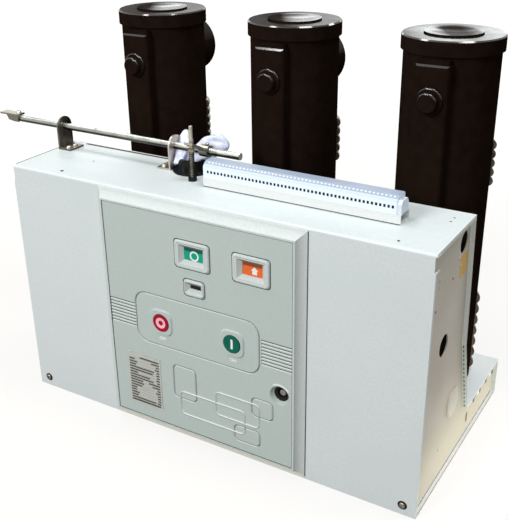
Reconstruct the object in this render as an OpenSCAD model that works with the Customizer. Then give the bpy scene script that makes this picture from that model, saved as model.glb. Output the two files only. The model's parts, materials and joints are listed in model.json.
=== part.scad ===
// Fixed vacuum circuit breaker, 24 kV class, with a spring mechanism housing in front
// and three embedded poles standing behind it on a sheet-steel base.
// Origin: centre of the four base bolts, on the floor plane. +X right as seen from the
// front, +Y towards the back, +Z up. Millimetres.

/* [Housing] */
// Width of the mechanism housing
box_w = 760; // [640:5:920]
// Height of the mechanism housing
box_h = 437; // [400:0.1:540]
// Depth of the housing at its top
box_depth = 162; // [135:1:200]
// Sheet thickness of covers and plates
sheet = 2; // [1.5:0.5:3]
// Width of the outward lips along the recessed side plates
side_lip = 7; // [5:1:12]

/* [Base] */
// Depth of the base, front to back
base_depth = 399; // [390:1:480]
// Height of the base's top plate
base_h = 69.5; // [58:0.5:84]
// Width of the foot rails under the side plates
foot_w = 46; // [40:1:56]
// Spacing of the base bolts, left to right
bolt_x = 696; // [600:2:860]
// Spacing of the base bolts, front to back
bolt_y = 280; // [220:5:340]
// Clearance hole for an M12 base bolt
bolt_d = 13; // [11:0.5:14]

/* [Poles] */
// Distance between neighbouring poles
pole_pitch = 275; // [240:1:300]
// Distance of the pole axes behind the front cover
pole_back = 309; // [300:1:330]
// Diameter of the pole body
pole_d = 150; // [125:1:170]
// Height of the pole's top above the floor
pole_top = 663.5; // [640:0.5:780]
// Cap diameter beyond the pole body
cap_over = 8.5; // [6:0.5:12]
// Height of the cap
cap_h = 23.5; // [18:0.5:27]
// Height of the upper terminal's axis
upper_terminal_z = 586; // [580:1:640]
// Distance between the upper and lower terminals
terminal_gap = 310; // [280:1:330]
// Diameter of the terminal collars
collar_d = 102; // [85:1:120]
// Number of sheds between the terminals
upper_sheds = 5; // [3:1:7]
// Number of sheds below the lower terminal
lower_sheds = 7; // [5:1:7]

/* [Control panel] */
// Width of the panel frame
panel_w = 383; // [340:0.1:460]
// Height of the panel frame
panel_h = 427; // [420:1:430]
// Height of the panel's lower edge
panel_z = 5; // [3:0.5:8]
// Depth of the panel in front of the cover
panel_t = 13; // [12:0.5:16]
// Diameter of the ON and OFF buttons
button_d = 30; // [25:1:36]
// Travel of the ON and OFF buttons
button_travel = 4; // [3:0.5:5]

/* [Interlock linkage] */
// Diameter of the interlock shaft
shaft_d = 12; // [10:0.1:14.5]
// Height of the shaft's axis above the top cover
shaft_up = 39; // [36:1:45]
// Distance of the shaft's axis behind the front cover
shaft_back = 124; // [118:1:128]
// Diameter of the push rod
rod_d = 6; // [5:0.5:7]
// Length of the spring round the push rod
spring_len = 42.5; // [38:0.5:46]

/* [Terminal strip] */
// Number of ways in the terminal strip
ways = 50; // [30:1:55]
// Pitch of the ways
way_pitch = 6.34; // [5:0.01:7]

/* [Hidden] */
$fn = 64;
front = -base_depth / 2;
half_w = box_w / 2;
plate_x = half_w - side_lip;
bend_r = 4;
cover_lip = 6;
corner_notch = 27;
box_back = front + box_depth;
pole_y = front + pole_back;
pole_r = pole_d / 2;
cap_r = pole_r + cap_over / 2;
lower_terminal_z = upper_terminal_z - terminal_gap;
collar_reach = 94;
terminal_hole = 34;
shed_reach = 6;
boss_d = 31;
boss_foot_d = 43;
boss_foot = 6;
boss_rise = 12;
boss_reach = 28;
kink_z = box_h * 0.487;
kink_back = 17;
foot_back = 60;
plug_d = 50;
plug_y = box_back - 9;
plug_z = base_h + 48.5;
panel_mid = panel_z + panel_h / 2;
panel_top = panel_z + panel_h;
lip_w = 2;
lip_h = 2.4;
rim_flat = 3;
mitre = 40;
rim_h = panel_t + 0.8;
cove_r = 20;
cove_w = 11.5;
cove_chord = sqrt(cove_w * cove_w + (rim_h - lip_h) * (rim_h - lip_h));
rim_w = lip_w + cove_w + rim_flat;
face_w = panel_w - 2 * rim_w - 2;
face_h = panel_h - 2 * rim_w - 2;
face_t = 4;
face_y = front - panel_t;
pocket_w = face_w - 4;
pocket_h = face_h - 6;
button_z = panel_z + 216.3;
off_x = -68.5;
on_x = 68.5;
window_z = panel_z + 350;
state_x = -1.5;
spring_x = 104.5;
counter_z = panel_z + 294.5;
window_w = 65;
window_h = 47;
counter_w = 39;
counter_h = 28.5;
groove_x0 = -120.5;
groove_x1 = 116.5;
rib_pitch = 5.93;
plate_w = 70;
plate_h = 101.5;
button_proud = 3.5;
pad_h = 2.4;
line_deep = 1.7;
rib_deep = 1.9;
bezel_gap_deep = 0.9;
bead_r = 3.5;
bezel_splay = 16;
socket_x = face_w / 2 - 21.6;
socket_boss_d = 38;
socket_bowl_d = 34;
socket_z = panel_z + 147;
spindle_d = 10;
shaft_y = front + shaft_back;
shaft_z = box_h + shaft_up;
shaft_x0 = -half_w - 97;
shaft_x1 = 4;
rod_x = -63;
bracket_x = -125;
rod_y = shaft_y - 40;
grommet_h = 6;
collar_h = 5;
collar_z = box_h + grommet_h + spring_len;
rod_top = box_h + 91;
lever_angle = 26.565;
rail_y = front + 70;
rail_w = 32;
rail_h = 15;
rail_x0 = -33;
strip_len = ways * way_pitch + 8;
rail_len = strip_len + 8;
strip_z = box_h + rail_h;
rib_w = 54;
rib_top = pole_top - 34;
spring_wire = 1.4;
spring_turns = 14;

box_grey = [0.86, 0.89, 0.87];
side_grey = [0.80, 0.80, 0.76];
frame_grey = [0.80, 0.83, 0.81];
face_grey = [0.70, 0.74, 0.72];
epoxy = [0.13, 0.07, 0.05];
zinc = [0.68, 0.67, 0.62];
steel = [0.60, 0.60, 0.58];

// ---- shared shapes ----

// Rectangle with rounded corners, centred.
module rounded_rect(w, h, r) {
    square([w - 2 * r, h], center = true);
    square([w, h - 2 * r], center = true);
    for (sx = [-1, 1], sy = [-1, 1])
        translate([sx * (w / 2 - r), sy * (h / 2 - r)])
            circle(r);
}

// Slot with round ends, long along the outline's second axis.
module slot(w, len) {
    square([w, len - w], center = true);
    for (side = [-1, 1])
        translate([0, side * (len - w) / 2])
            circle(w / 2);
}

// Stands a flat outline up on a plane facing the front; it grows forwards by depth.
module on_front(x, y, z, depth) {
    translate([x, y, z])
        rotate([90, 0, 0])
            linear_extrude(depth)
                children();
}

// Rod along X from x0 to x1.
module rod_x(x0, x1, y, z, d) {
    translate([x0, y, z])
        rotate([0, 90, 0])
            cylinder(h = x1 - x0, d = d);
}

// Rod along Y from y0 to y1.
module rod_y(x, y0, y1, z, d) {
    translate([x, y1, z])
        rotate([90, 0, 0])
            cylinder(h = y1 - y0, d = d);
}

// ---- housing ----

// Outline of the bent cover, seen from the side.
module cover_section() {
    translate([front, 0])
        square([sheet, box_h - bend_r]);
    translate([front + bend_r, box_h - sheet])
        square([box_depth - bend_r, sheet]);
    translate([front + bend_r, box_h - bend_r])
        intersection() {
            difference() {
                circle(bend_r);
                circle(bend_r - sheet);
            }
            translate([-bend_r, 0])
                square(bend_r);
        }
}

// Narrow lips folded back from the front and down from the top, short of the corner.
module cover_lips(side)
    mirror([side < 0 ? 1 : 0, 0, 0]) {
        translate([half_w - sheet, front, sheet])
            cube([sheet, cover_lip, box_h - corner_notch - sheet]);
        translate([half_w - sheet, front + bend_r, box_h - cover_lip])
            cube([sheet, box_depth - bend_r - sheet, cover_lip]);
    }

// Front and top of the housing in one bent sheet, notched at the upper front corners.
module front_cover() color(box_grey) {
    difference() {
        union() {
            translate([-half_w, 0, 0])
                rotate([90, 0, 90])
                    linear_extrude(box_w)
                        cover_section();
            cover_lips(-1);
            cover_lips(1);
        }
        for (side = [-1, 1])
            translate([side * half_w - sheet, front - 1, box_h - corner_notch])
                cube([2 * sheet, sheet + 2, corner_notch - bend_r]);
        on_front(0, front + 10, panel_mid, 20)
            square([pocket_w, pocket_h], center = true);
        translate([rod_x, rod_y, box_h - 10])
            cylinder(h = 20, d = rod_d + 2);
    }
}

// Outline of a side plate: housing, sloped gusset and base in one sheet.
module side_outline() {
    polygon([[front + sheet, 0], [front + sheet, box_h - bend_r], [front + bend_r, box_h - sheet],
             [box_back, box_h - sheet], [box_back + kink_back, kink_z],
             [box_back + foot_back, base_h], [box_back + foot_back, base_h - sheet],
             [-front - sheet, base_h - sheet], [-front - sheet, 0]]);
}

// Strip that follows the rear edge of the housing part of a side plate.
module rear_edge_strip() {
    polygon([[box_back - sheet, box_h - sheet], [box_back, box_h - sheet],
             [box_back + kink_back, kink_z], [box_back + foot_back, base_h],
             [box_back + foot_back - sheet, base_h],
             [box_back + kink_back - sheet, kink_z]]);
}

// One side plate. The upper and middle openings and the cable hole go right through.
module side_plate(side) color(side_grey) {
    mirror([side < 0 ? 1 : 0, 0, 0]) {
        difference() {
            translate([plate_x - sheet, 0, 0])
                rotate([90, 0, 90])
                    linear_extrude(sheet)
                        side_outline();
            rod_x(plate_x - 10, plate_x + 10, box_back - 24, box_h - 35, 34);
            rod_x(plate_x - 10, plate_x + 10, front + 84, kink_z + 44, 36);
            rod_x(plate_x - 10, plate_x + 10, plug_y, plug_z, plug_d - 10);
            translate([plate_x - 10, box_back + 86, base_h - 38])
                rotate([90, 0, 90])
                    linear_extrude(20)
                        slot(9, 20);
        }
        translate([plate_x, 0, 0])
            rotate([90, 0, 90])
                linear_extrude(side_lip)
                    rear_edge_strip();
        translate([plate_x, front + sheet, 0])
            cube([side_lip, base_depth - 2 * sheet, sheet]);
    }
}

module side_plate_left() side_plate(-1);
module side_plate_right() side_plate(1);

// Rear wall of the housing between the side plates.
module back_plate() color(box_grey)
    translate([-plate_x + sheet, box_back - sheet, base_h])
        cube([box_w - 2 * side_lip - 2 * sheet, sheet, box_h - base_h - sheet]);

// Top of the base behind the housing, with two hanging tabs on each edge.
module base_top_plate() color(box_grey) {
    difference() {
        translate([-half_w, box_back - sheet, base_h - sheet])
            cube([box_w, base_depth - box_depth + sheet, sheet]);
        for (side = [-1, 1])
            translate([side * half_w - side_lip - sheet, box_back - sheet - 1, base_h - sheet - 1])
                cube([2 * (side_lip + sheet), foot_back + sheet + 1, sheet + 2]);
    }
    for (side = [-1, 1], y = [front + 267, front + 336])
        translate([side * (plate_x + 3) - 1, y, base_h - sheet - 10])
            cube([2, 38, 10]);
}

module base_rear_plate() color(box_grey)
    translate([-half_w, -front - sheet, 0])
        cube([box_w, sheet, base_h - sheet]);

// Foot rail under a side plate with two clearance holes for base bolts.
module foot_rail(side) color(box_grey)
    mirror([side < 0 ? 1 : 0, 0, 0])
        difference() {
            translate([plate_x - sheet - foot_w, front + sheet, 0])
                cube([foot_w, base_depth - 2 * sheet, 4]);
            for (y = [-1, 1])
                translate([bolt_x / 2, y * bolt_y / 2, -5])
                    cylinder(h = 20, d = bolt_d);
        }

module foot_rail_left() foot_rail(-1);
module foot_rail_right() foot_rail(1);

// Blanking plug in the lower side opening: a flange outside and a neck inside.
module hole_plug(side) color([0.90, 0.89, 0.85])
    mirror([side < 0 ? 1 : 0, 0, 0]) {
        rod_x(plate_x, plate_x + 1.5, plug_y, plug_z, plug_d);
        translate([plate_x + 1.5, plug_y, plug_z])
            rotate([0, 90, 0])
                cylinder(h = 1.5, d1 = plug_d, d2 = plug_d - 5);
        rod_x(plate_x - sheet, plate_x, plug_y, plug_z, plug_d - 10);
    }

module hole_plug_left() hole_plug(-1);
module hole_plug_right() hole_plug(1);

// ---- control panel ----

// Section of the frame: thin lip, concave cove, flat rim and the ledge under the face.
module moulding_section() {
    difference() {
        square([rim_w, rim_h]);
        translate([-1, lip_h])
            square([lip_w + 1, rim_h]);
        translate([lip_w + cove_w / 2, (lip_h + rim_h) / 2])
            rotate(atan2(rim_h - lip_h, cove_w))
                translate([0, sqrt(cove_r * cove_r - cove_chord * cove_chord / 4)])
                    circle(cove_r, $fn = 128);
    }
    translate([lip_w + cove_w, 0])
        square([(panel_w - pocket_w) / 2 - lip_w - cove_w, panel_t - face_t]);
}

// One side of the frame, mitred at both ends.
module frame_side(len, across)
    intersection() {
        translate([-len / 2, across / 2, 0])
            rotate([90, 0, 90])
                linear_extrude(len)
                    mirror([1, 0])
                        moulding_section();
        linear_extrude(rim_h)
            polygon([[-len / 2, across / 2], [len / 2, across / 2],
                     [len / 2 - mitre, across / 2 - mitre], [mitre - len / 2, across / 2 - mitre]]);
    }

// Moulded frame with a concave border that runs out into a thin lip.
module panel_frame() color(frame_grey)
    translate([0, front, panel_mid])
        rotate([90, 0, 0])
            for (turn = [0, 2]) {
                rotate([0, 0, 90 * turn])
                    frame_side(panel_w, panel_h);
                rotate([0, 0, 90 * turn + 90])
                    frame_side(panel_h, panel_w);
            }

// Diamond section whose half diagonal is r.
module diamond(r)
    polygon([[-r, 0], [0, -r], [r, 0], [0, r]]);

// Carries a flat section, given as a child, round a rounded rectangle at depth y.
module line_ring(x0, x1, z0, z1, r, y) {
    w = x1 - x0;
    h = z1 - z0;
    translate([(x0 + x1) / 2, y, (z0 + z1) / 2])
        rotate([90, 0, 0])
            for (turn = [0, 180])
                rotate([0, 0, turn]) {
                    translate([r - w / 2, h / 2, 0])
                        rotate([0, 90, 0])
                            linear_extrude(w - 2 * r)
                                children();
                    translate([w / 2, r - h / 2, 0])
                        rotate([-90, 0, 0])
                            linear_extrude(h - 2 * r)
                                children();
                    translate([w / 2 - r, h / 2 - r, 0])
                        rotate_extrude(angle = 90)
                            translate([r, 0])
                                children();
                    translate([r - w / 2, h / 2 - r, 0])
                        rotate([0, 0, 90])
                            rotate_extrude(angle = 90)
                                translate([r, 0])
                                    children();
                }
}

// Line moulded into or onto the face along a rounded rectangle.
module face_line(x0, x1, z0, z1, r)
    line_ring(x0, x1, panel_z + z0, panel_z + z1, r, face_y)
        diamond(line_deep);

// Eight fine V-cuts across the face from x0 to x1.
module rib_cuts(x0, x1)
    for (i = [0 : 7])
        translate([x0, face_y, button_z + (3.4 - i) * rib_pitch])
            rotate([0, 90, 0])
                linear_extrude(x1 - x0)
                    diamond(rib_deep);

// Raised pad with chamfered edges round a push button.
module button_pad(x) {
    on_front(x, face_y, button_z, pad_h)
        rounded_rect(39.6, 42.6, 12);
    line_ring(x - 19.8, x + 19.8, button_z - 21.3, button_z + 21.3, 12, face_y)
        diamond(pad_h);
}

// Flat face carrying windows, buttons, the charging socket and its moulded lines.
module panel_face() color(face_grey)
    difference() {
        union() {
            on_front(0, face_y + face_t, panel_mid, face_t)
                square([face_w, face_h], center = true);
            button_pad(off_x);
            button_pad(on_x);
            rod_y(socket_x, face_y, front + 12, socket_z, socket_boss_d);
            for (x = [off_x, on_x])
                rod_y(x, face_y, front, button_z, button_d + 6);
            face_line(-37.5, 88.3, 50.5, 94.5, 8);
            face_line(33.2, 115.5, 72.3, 116, 8);
        }
        face_line(groove_x0, groove_x1, 171.2, 263.3, 22);
        face_line(-50.5, -5.8, 80, 142, 8);
        face_line(101.5, 140, 93.6, 127.5, 8);
        face_line(67.6, 115.7, 35, 64, 8);
        for (x = [state_x, spring_x])
            bezel_gap(x, window_z, window_w, window_h);
        bezel_gap(0, counter_z, counter_w, counter_h);
        rib_cuts(-face_w / 2 - 1, groove_x0 - 1);
        rib_cuts(groove_x1 + 4, face_w / 2 + 1);
        for (x = [off_x, on_x])
            rod_y(x, front - 30, front + 5, button_z, button_d + 0.6);
        for (x = [state_x, spring_x])
            on_front(x, front + 5, window_z, 40)
                rounded_rect(window_w - 9, window_h - 9, 4);
        on_front(0, front + 5, counter_z, 40)
            rounded_rect(counter_w - 9, counter_h - 9, 3);
        translate([socket_x, face_y - 0.01, socket_z])
            rotate([-90, 0, 0])
                cylinder(h = 10, d1 = socket_bowl_d, d2 = 22);
        rod_y(socket_x, front - 20, front + 7, socket_z, 18);
        rod_y(socket_x, front, front + 20, socket_z, spindle_d + 0.6);
    }

// Fine groove in the face round the foot of a bezel.
module bezel_gap(x, z, w, h)
    line_ring(x - w / 2 - 0.5, x + w / 2 + 0.5, z - h / 2 - 0.5, z + h / 2 + 0.5, bead_r + 2, face_y)
        diamond(bezel_gap_deep);

// Window bezel: round bead, splayed inner faces and a neck through the face.
module bezel(x, z, w, h, open_w, open_h) color(frame_grey)
    difference() {
        union() {
            intersection() {
                line_ring(x - w / 2 + bead_r, x + w / 2 - bead_r, z - h / 2 + bead_r, z + h / 2 - bead_r,
                          bead_r + 1, face_y + 0.5)
                    circle(bead_r, $fn = 32);
                on_front(x, face_y, z, 20)
                    square([2 * w, 2 * h], center = true);
            }
            on_front(x, face_y + 5, z, 7.6)
                rounded_rect(w - 9.4, h - 9.4, 3.8);
        }
        hull() {
            on_front(x, face_y - 4, z, 0.1)
                square([open_w + bezel_splay, open_h + bezel_splay - 2], center = true);
            on_front(x, face_y + 4, z, 0.1)
                square([open_w, open_h], center = true);
        }
        on_front(x, face_y + 8, z, 16)
            square([open_w, open_h], center = true);
    }

module state_window_bezel() bezel(state_x, window_z, window_w, window_h, 35, 21);
module spring_window_bezel() bezel(spring_x, window_z, window_w, window_h, 35, 21);
module counter_bezel() bezel(0, counter_z, counter_w, counter_h, 20, 6.5);

// Indicator flag behind a window.
module flag(x)
    on_front(x, face_y + 6.5, window_z, 1.5)
        rounded_rect(46, 32, 2);

module state_flag() color([0.07, 0.64, 0.52]) flag(state_x);
module spring_flag() color([0.91, 0.44, 0.23]) flag(spring_x);

module counter_dial() color([0.05, 0.05, 0.05])
    on_front(0, face_y + 8, counter_z, 3)
        square([25, 12], center = true);

// Push button with a shallow dished face and a stem into the mechanism.
module button(x)
    difference() {
        union() {
            rod_y(x, face_y - button_proud, face_y + button_travel + 2, button_z, button_d);
            rod_y(x, face_y + button_travel + 2, front + 24, button_z, 9);
        }
        translate([x, face_y - button_proud - 58, button_z])
            sphere(r = 59, $fn = 128);
    }

module off_button() color([0.75, 0.06, 0.19]) button(off_x);
module on_button() color([0.04, 0.42, 0.35]) button(on_x);

// Manual charging spindle, standing back inside its socket.
module charging_spindle() color(steel)
    rod_y(socket_x, front - 2, front + 40, socket_z, spindle_d);

module rating_plate() color([0.62, 0.64, 0.63])
    on_front(26.6 + plate_w / 2 - face_w / 2, face_y, panel_z + 90.5, 0.8)
        square([plate_w, plate_h], center = true);

// ---- poles ----

// Half rings on the rear of a pole; each is an arc that meets its neighbours at the body.
module sheds(count, top, pitch) {
    half = pitch / 2 + 0.3;
    shed_r = (shed_reach * shed_reach + half * half) / (2 * shed_reach);
    for (i = [0 : count - 1])
        translate([0, pole_y, top - i * pitch])
            rotate([0, 0, 22])
                rotate_extrude(angle = 136)
                    translate([pole_r + shed_reach - shed_r, 0])
                        circle(shed_r, $fn = 32);
}

// Rib up the front of a pole: bevelled at the top, with a lower step behind it.
module front_rib() {
    difference() {
        translate([0, pole_y - pole_r, base_h])
            linear_extrude(rib_top - base_h)
                rounded_rect(rib_w, 26, 6);
        translate([-rib_w, pole_y - pole_r - 13, rib_top])
            rotate([45, 0, 0])
                translate([0, -2, -2])
                    cube([2 * rib_w, 4, 4]);
    }
    translate([0, pole_y - pole_r + 3, base_h])
        linear_extrude(rib_top + 7 - base_h)
            rounded_rect(rib_w - 4, 22, 4);
}

// Disc of height h whose front rim is rounded by 3 mm.
module rounded_disc(h, d) {
    cylinder(h = h - 3, d = d);
    cylinder(h = h, d = d - 6);
    translate([0, 0, h - 3])
        rotate_extrude()
            translate([d / 2 - 3, 0])
                circle(3, $fn = 32);
}

// Round boss on a wider foot, standing on the front rib.
module boss() {
    rounded_disc(boss_reach, boss_d);
    translate([0, 0, boss_rise])
        rounded_disc(boss_foot, boss_foot_d);
}

// Cast-resin pole body: column, front rib with its boss, rear collars and sheds.
module pole_body(x) color(epoxy)
    translate([x, 0, 0]) {
        difference() {
            union() {
                translate([0, pole_y, base_h])
                    cylinder(h = pole_top - cap_h - base_h, r = pole_r, $fn = 96);
                front_rib();
                translate([0, pole_y - pole_r, upper_terminal_z - 10])
                    rotate([90, 0, 0])
                        boss();
                for (z = [upper_terminal_z, lower_terminal_z])
                    rod_y(0, pole_y, pole_y + collar_reach, z, collar_d);
                sheds(upper_sheds, upper_terminal_z - 98, 15.2);
                sheds(lower_sheds, lower_terminal_z - 62, 21.3);
            }
            for (z = [upper_terminal_z, lower_terminal_z]) {
                rod_y(0, pole_y + collar_reach - 6, pole_y + collar_reach + 6, z, 70);
                rod_y(0, pole_y + collar_reach - 46, pole_y + collar_reach, z, 40);
            }
        }
    }

module pole_left() pole_body(-pole_pitch);
module pole_middle() pole_body(0);
module pole_right() pole_body(pole_pitch);

// Cap with a raised, slightly dished disc.
module cap(x) color(epoxy)
    translate([x, pole_y, pole_top - cap_h])
        difference() {
            union() {
                cylinder(h = cap_h - 2, r = cap_r, $fn = 96);
                translate([0, 0, cap_h - 2])
                    cylinder(h = 2, r1 = cap_r, r2 = cap_r - 2, $fn = 96);
                cylinder(h = cap_h + 2.5, r = 45.5, $fn = 96);
            }
            translate([0, 0, cap_h + 2.5 + 298])
                sphere(r = 300, $fn = 256);
        }

module cap_left() cap(-pole_pitch);
module cap_middle() cap(0);
module cap_right() cap(pole_pitch);

// Terminal with a blind threaded hole for the contact arm or busbar.
module terminal(x, z) color([0.72, 0.70, 0.66])
    difference() {
        union() {
            rod_y(x, pole_y + collar_reach - 6, pole_y + collar_reach + 2, z, 70);
            rod_y(x, pole_y + collar_reach - 46, pole_y + collar_reach, z, 40);
        }
        rod_y(x, pole_y + collar_reach + 2 - terminal_hole, pole_y + collar_reach + 10, z, 14);
    }

module upper_terminal_left() terminal(-pole_pitch, upper_terminal_z);
module upper_terminal_middle() terminal(0, upper_terminal_z);
module upper_terminal_right() terminal(pole_pitch, upper_terminal_z);
module lower_terminal_left() terminal(-pole_pitch, lower_terminal_z);
module lower_terminal_middle() terminal(0, lower_terminal_z);
module lower_terminal_right() terminal(pole_pitch, lower_terminal_z);

// ---- interlock linkage ----

// Angle bracket with a round-topped upright bored for the shaft; dir points its foot.
module shaft_bracket(x, dir) color(zinc)
    difference() {
        union() {
            translate([x - 1.5, shaft_y - 18, box_h])
                cube([3, 36, shaft_up]);
            rod_x(x - 1.5, x + 1.5, shaft_y, shaft_z, 36);
            translate([dir > 0 ? x - 1.5 : x - 25.5, shaft_y - 18, box_h])
                cube([27, 36, 3]);
        }
        rod_x(x - 5, x + 5, shaft_y, shaft_z, shaft_d + 0.1);
    }

module shaft_bracket_left() shaft_bracket(-half_w + 10, 1);
module shaft_bracket_right() shaft_bracket(bracket_x, -1);

module interlock_shaft() color(steel)
    rod_x(shaft_x0, shaft_x1, shaft_y, shaft_z, shaft_d);

// Angled plate on the outer end of the shaft.
module end_crank() color(zinc) {
    translate([shaft_x0 - 43, shaft_y - 9, shaft_z + shaft_d / 2])
        cube([45, 18, 3]);
    on_front(shaft_x0, shaft_y - shaft_d / 2, shaft_z, 3)
        polygon([[-27, shaft_d / 2], [2, shaft_d / 2], [2, -5], [-7, -5], [-22, -3]]);
}

// Hub with an inclined arm; its slotted end stands over the push rod's collar.
module drive_lever() color(zinc)
    difference() {
        union() {
            rod_x(rod_x - 8, rod_x + 8, shaft_y, shaft_z, 20);
            translate([rod_x - 8, shaft_y, shaft_z])
                rotate([-lever_angle, 0, 0])
                    translate([0, -54, -2])
                        cube([16, 46, 4]);
        }
        rod_x(rod_x - 20, rod_x + 20, shaft_y, shaft_z, shaft_d);
        translate([rod_x, shaft_y, shaft_z])
            rotate([-lever_angle, 0, 0])
                translate([0, -45, -10])
                    linear_extrude(20)
                        slot(rod_d + 1.2, 16);
    }

// Vertical rod with a shouldered collar above its spring.
module push_rod() color(steel) {
    translate([rod_x, rod_y, box_h - 22])
        cylinder(h = rod_top - box_h + 22 - 1, d = rod_d);
    translate([rod_x, rod_y, rod_top - 1])
        cylinder(h = 1, d1 = rod_d, d2 = rod_d - 2);
    translate([rod_x, rod_y, collar_z])
        cylinder(h = collar_h, d = 11);
}

// Wire ring of the spring at a share t of its length, as points round the wire.
function wire_ring(t) =
    let (turn = 360 * spring_turns * t,
         coil_r = rod_d / 2 + 0.4 + spring_wire / 2,
         rise = spring_wire / 2 + t * (spring_len - spring_wire))
    [for (a = [30 : 60 : 330])
        let (r = coil_r + spring_wire / 2 * cos(a))
        [r * cos(turn), r * sin(turn), rise + spring_wire / 2 * sin(a)]];

// Open-wound coil spring between the grommet and the rod's collar.
module rod_spring() color(steel) {
    rings = spring_turns * 12;
    points = [for (i = [0 : rings]) each wire_ring(i / rings)];
    sides = [for (i = [0 : rings - 1], j = [0 : 5])
        let (k = (j + 1) % 6)
        [6 * i + j, 6 * i + 6 + j, 6 * i + 6 + k, 6 * i + k]];
    ends = [[for (j = [0 : 5]) j], [for (j = [5 : -1 : 0]) 6 * rings + j]];
    translate([rod_x, rod_y, box_h + grommet_h])
        polyhedron(points, concat(sides, ends));
}

module rod_grommet() color([0.12, 0.12, 0.12])
    difference() {
        translate([rod_x, rod_y, box_h])
            cylinder(h = grommet_h, d = 14);
        translate([rod_x, rod_y, box_h - 5])
            cylinder(h = 30, d = rod_d + 0.6);
    }

// ---- terminal strip ----

// Mounting rail: a channel with inward lips.
module terminal_rail() color([0.88, 0.87, 0.82])
    translate([rail_x0, rail_y, box_h])
        rotate([90, 0, 90])
            linear_extrude(rail_len)
                difference() {
                    square([rail_w, rail_h]);
                    translate([1.5, 1.5])
                        square([rail_w - 3, rail_h - 3]);
                    translate([8, 5])
                        square([rail_w - 16, rail_h]);
                }

// Row of moulded terminal blocks with a wire entry for each way.
module terminal_strip() color([0.78, 0.84, 0.92])
    difference() {
        translate([rail_x0 + 1, rail_y, strip_z])
            rotate([90, 0, 90])
                linear_extrude(strip_len)
                    polygon([[0, 0], [0, 18], [3, 22], [9, 26], [27, 26], [30, 23], [30, 8], [27, 0]]);
        for (i = [0 : ways - 1])
            translate([rail_x0 + 7.8 + i * way_pitch, rail_y - 1, strip_z + 8.1])
                cube([3.6, 8, 4.4]);
    }

// End bracket that grips the rail, with a screw well on top.
module end_clamp() color([0.80, 0.84, 0.88])
    difference() {
        translate([rail_x0 + 1 + strip_len, rail_y, strip_z])
            rotate([90, 0, 90])
                linear_extrude(7)
                    polygon([[1, 0], [1, 15], [5, 20], [22, 20], [27, 14], [27, 0]]);
        translate([rail_x0 + 1 + strip_len + 3.5, rail_y + 13, strip_z + 16])
            cylinder(h = 10, d = 4.5);
    }

// ---- soft pieces beside the linkage ----

module cable_boot() color([0.07, 0.07, 0.08])
    translate([bracket_x + 33, shaft_y + 2, box_h])
        cylinder(h = 22, r1 = 30, r2 = 25);

// Straight lobe with round ends behind the shaft; lean tilts its axis from the vertical towards +X.
module lobe(x, z, d, len, lean)
    translate([x, shaft_y + 24, z])
        rotate([0, lean, 0]) {
            cylinder(h = len, d = d);
            sphere(d = d);
            translate([0, 0, len])
                sphere(d = d);
        }

module wrapped_end_left() color([0.88, 0.90, 0.95])
    lobe(bracket_x + 9.5, box_h + 30, 16, 22, -10);

module wrapped_end_right() color([0.88, 0.90, 0.95])
    lobe(bracket_x + 35, box_h + 33, 21, 42, 71);

front_cover();
side_plate_left();
side_plate_right();
back_plate();
base_top_plate();
base_rear_plate();
foot_rail_left();
foot_rail_right();
hole_plug_left();
hole_plug_right();
panel_frame();
panel_face();
state_window_bezel();
state_flag();
spring_window_bezel();
spring_flag();
counter_bezel();
counter_dial();
off_button();
on_button();
charging_spindle();
rating_plate();
pole_left();
pole_middle();
pole_right();
cap_left();
cap_middle();
cap_right();
upper_terminal_left();
upper_terminal_middle();
upper_terminal_right();
lower_terminal_left();
lower_terminal_middle();
lower_terminal_right();
shaft_bracket_left();
shaft_bracket_right();
interlock_shaft();
end_crank();
drive_lever();
push_rod();
rod_spring();
rod_grommet();
terminal_rail();
terminal_strip();
end_clamp();
cable_boot();
wrapped_end_left();
wrapped_end_right();
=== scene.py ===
"""Looks of a fixed vacuum circuit breaker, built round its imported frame. Lengths are in metres."""
import json
import math

import bmesh
import bpy
from mathutils import Matrix, Vector, noise


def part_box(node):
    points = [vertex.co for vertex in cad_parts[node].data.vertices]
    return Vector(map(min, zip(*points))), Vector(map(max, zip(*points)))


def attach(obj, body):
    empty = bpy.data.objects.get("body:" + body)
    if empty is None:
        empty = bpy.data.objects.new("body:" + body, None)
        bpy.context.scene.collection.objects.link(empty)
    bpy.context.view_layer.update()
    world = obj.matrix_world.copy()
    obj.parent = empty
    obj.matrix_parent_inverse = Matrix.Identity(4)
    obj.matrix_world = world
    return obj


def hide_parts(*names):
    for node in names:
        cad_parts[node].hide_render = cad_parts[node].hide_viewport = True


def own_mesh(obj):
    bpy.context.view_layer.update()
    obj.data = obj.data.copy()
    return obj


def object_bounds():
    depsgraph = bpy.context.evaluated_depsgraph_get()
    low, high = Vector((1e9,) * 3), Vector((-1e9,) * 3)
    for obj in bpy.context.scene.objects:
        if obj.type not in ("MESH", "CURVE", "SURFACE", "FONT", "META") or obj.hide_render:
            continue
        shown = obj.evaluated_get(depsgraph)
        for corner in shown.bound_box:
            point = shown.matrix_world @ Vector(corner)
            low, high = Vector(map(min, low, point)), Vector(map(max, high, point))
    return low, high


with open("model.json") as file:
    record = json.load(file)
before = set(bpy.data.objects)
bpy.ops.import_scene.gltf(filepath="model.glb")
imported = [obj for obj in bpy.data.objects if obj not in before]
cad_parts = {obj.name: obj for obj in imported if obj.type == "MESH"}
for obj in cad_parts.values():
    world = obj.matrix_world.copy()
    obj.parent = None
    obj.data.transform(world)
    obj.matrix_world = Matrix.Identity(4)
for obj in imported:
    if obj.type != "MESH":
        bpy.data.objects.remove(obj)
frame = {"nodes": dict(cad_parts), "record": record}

CAD_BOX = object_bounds()
MM = 0.001
WELD = 1e-7
NODES = frame["nodes"]
SLOT_OF = {part["node"]: part["material_slot"] for part in frame["record"]["subparts"]}

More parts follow.
